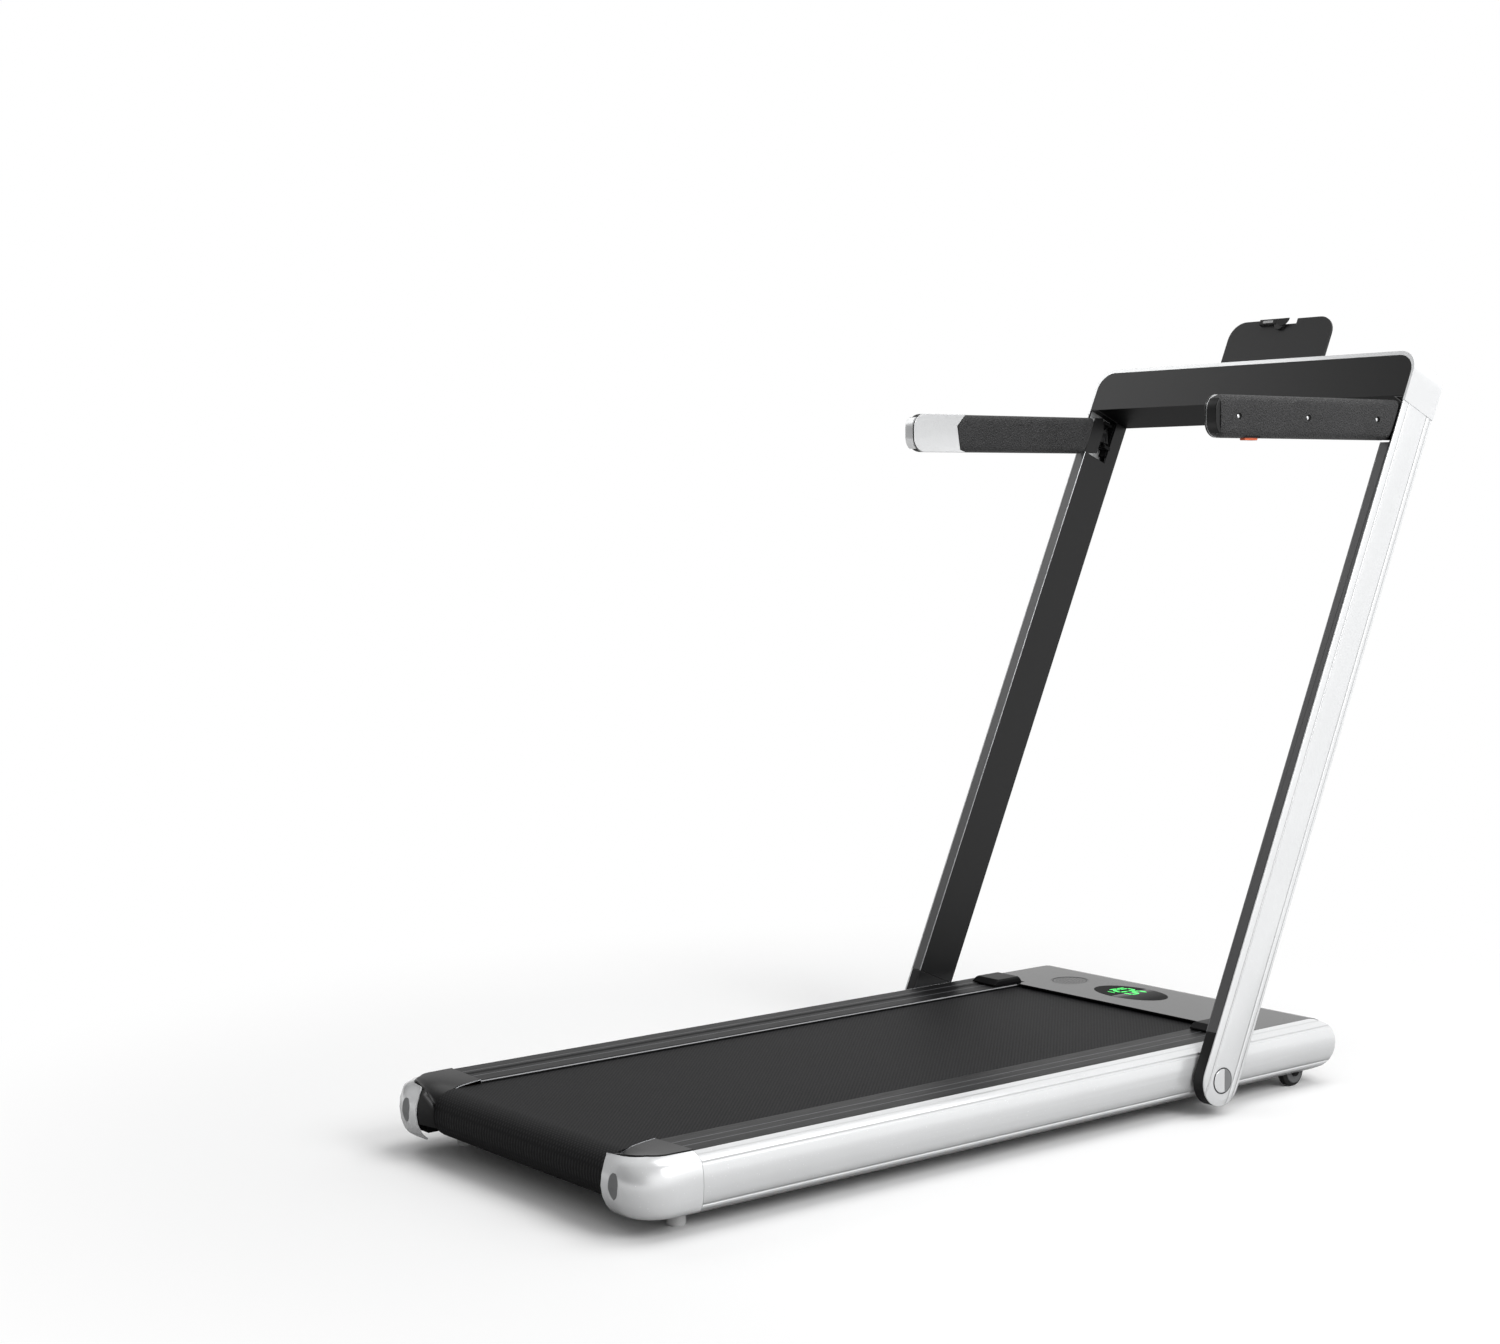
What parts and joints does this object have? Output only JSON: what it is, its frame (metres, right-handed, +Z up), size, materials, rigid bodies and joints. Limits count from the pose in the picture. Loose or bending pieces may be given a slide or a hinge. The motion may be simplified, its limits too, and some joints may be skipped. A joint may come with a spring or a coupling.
{
  "type": "folding treadmill",
  "caption": "Flat walking and running treadmill with a leaning U-shaped frame that folds back over the deck, folding side handles and a flip-up tablet plate.",
  "frame": {"origin": "on the floor, under the middle of the unfolded treadmill's bounding box", "axes": "+Y towards the motor end, +X to the walker's right, +Z up"},
  "size_m": [0.6612, 1.489, 1.1582],
  "materials": {
    "silver": "silver-white gloss lacquer",
    "black": "satin black moulding",
    "gloss": "gloss black",
    "belt": "fine diamond texture",
    "rubber": "matt black rubber",
    "pale_rubber": "pale grey rubber",
    "foam": "black foam with a leather grain",
    "steel": "bright steel",
    "frame": "black powder coat on steel",
    "board": "laminated board",
    "circuit": "green circuit board",
    "casing": "dark zinc-plated steel",
    "orange": "orange-red plastic"
  },
  "bodies": {
    "deck": {"bottom_pan": "black", "cap_guard_left": "black", "cap_guard_right": "black", "cap_outer_left": "silver", "cap_outer_right": "silver", "controller_board": "circuit", "cross_member": "frame", "deck_board": "board", "deck_cushion_left": "rubber", "deck_cushion_right": "rubber", "display_board": "circuit", "display_lens": "gloss", "drive_belt": "rubber", "foot_rail_left": "black", "foot_rail_right": "black", "front_axle": "steel", "hinge_cover_left": "black", "hinge_cover_right": "black", "motor_bracket": "frame", "motor_casing": "casing", "motor_hood": "black", "pivot_bracket_left": "frame", "pivot_bracket_right": "frame", "power_inlet": "black", "rear_axle": "steel", "rear_foot_left": "pale_rubber", "rear_foot_right": "pale_rubber", "running_belt": "belt", "side_beam_left": "frame", "side_beam_right": "frame", "side_panel_left": "silver", "side_panel_right": "silver", "speaker": "black"},
    "u_frame": {"frame_tube": "frame", "upright_shell_left": "silver", "upright_shell_right": "silver", "upright_housing_left": "black", "upright_housing_right": "black", "upright_boot_left": "black", "upright_boot_right": "black", "pivot_cap_left": "silver", "pivot_cap_right": "silver", "crossbar_housing": "black", "crossbar_shell": "silver"},
    "right_handle": {"handle_grip_right": "foam", "handle_core_right": "steel", "handle_plate_right": "silver", "handle_cap_right": "gloss"},
    "left_handle": {"handle_grip_left": "foam", "handle_core_left": "steel", "handle_plate_left": "silver", "handle_cap_left": "gloss"},
    "key": {"safety_key": "orange"},
    "tablet_holder": {"tablet_plate": "black"},
    "front_roller_body": {"front_roller": "steel"},
    "rear_roller_body": {"rear_roller": "steel"},
    "rotor": {"motor_rotor": "steel"},
    "right_wheel": {"wheel_right": "rubber"},
    "left_wheel": {"wheel_left": "rubber"},
    "rocker": {"power_rocker": "black"}
  },
  "joints": [
    {"name": "frame_fold", "type": "hinge", "parent": "deck", "child": "u_frame", "pos_m": [0, 0.23555, 0.051], "axis": [1, 0, 0], "range_deg": [0, 114.2]},
    {"name": "right_handle_fold", "type": "hinge", "parent": "u_frame", "child": "right_handle", "pos_m": [0.3109, 0.63239, 0.985], "axis": [-0.2052, -0.2052, -0.957], "range_deg": [0, 92.52]},
    {"name": "left_handle_fold", "type": "hinge", "parent": "u_frame", "child": "left_handle", "pos_m": [-0.3155, 0.65306, 0.9788], "axis": [-0.2052, 0.2052, 0.957], "range_deg": [0, 92.52]},
    {"name": "safety_key_slide", "type": "slide", "parent": "right_handle", "child": "key", "axis": [0, 0, -1], "range_m": [0, 0.01]},
    {"name": "tablet_fold", "type": "hinge", "parent": "u_frame", "child": "tablet_holder", "pos_m": [0, 0.7212, 1.06942], "axis": [-1, 0, 0], "range_deg": [0, 180]},
    {"name": "front_roller_spin", "type": "hinge", "parent": "deck", "child": "front_roller_body", "pos_m": [0, 0.37255, 0.06], "axis": [1, 0, 0], "continuous": true},
    {"name": "rear_roller_spin", "type": "hinge", "parent": "deck", "child": "rear_roller_body", "pos_m": [0, -0.69546, 0.06], "axis": [1, 0, 0], "continuous": true},
    {"name": "motor_spin", "type": "hinge", "parent": "deck", "child": "rotor", "pos_m": [0, 0.44755, 0.06], "axis": [1, 0, 0], "continuous": true},
    {"name": "right_wheel_spin", "type": "hinge", "parent": "deck", "child": "right_wheel", "pos_m": [0.272, 0.45054, 0.0225], "axis": [1, 0, 0], "continuous": true},
    {"name": "left_wheel_spin", "type": "hinge", "parent": "deck", "child": "left_wheel", "pos_m": [-0.272, 0.45054, 0.0225], "axis": [1, 0, 0], "continuous": true},
    {"name": "power_rocker_tilt", "type": "hinge", "parent": "deck", "child": "rocker", "pos_m": [0.116, 0.51304, 0.043], "axis": [1, 0, 0], "range_deg": [-10, 10]}
  ],
  "couplings": [
    {"joint": "rear_roller_spin", "follows": "front_roller_spin", "ratio": 1},
    {"joint": "motor_spin", "follows": "front_roller_spin", "ratio": 2.5}
  ]
}
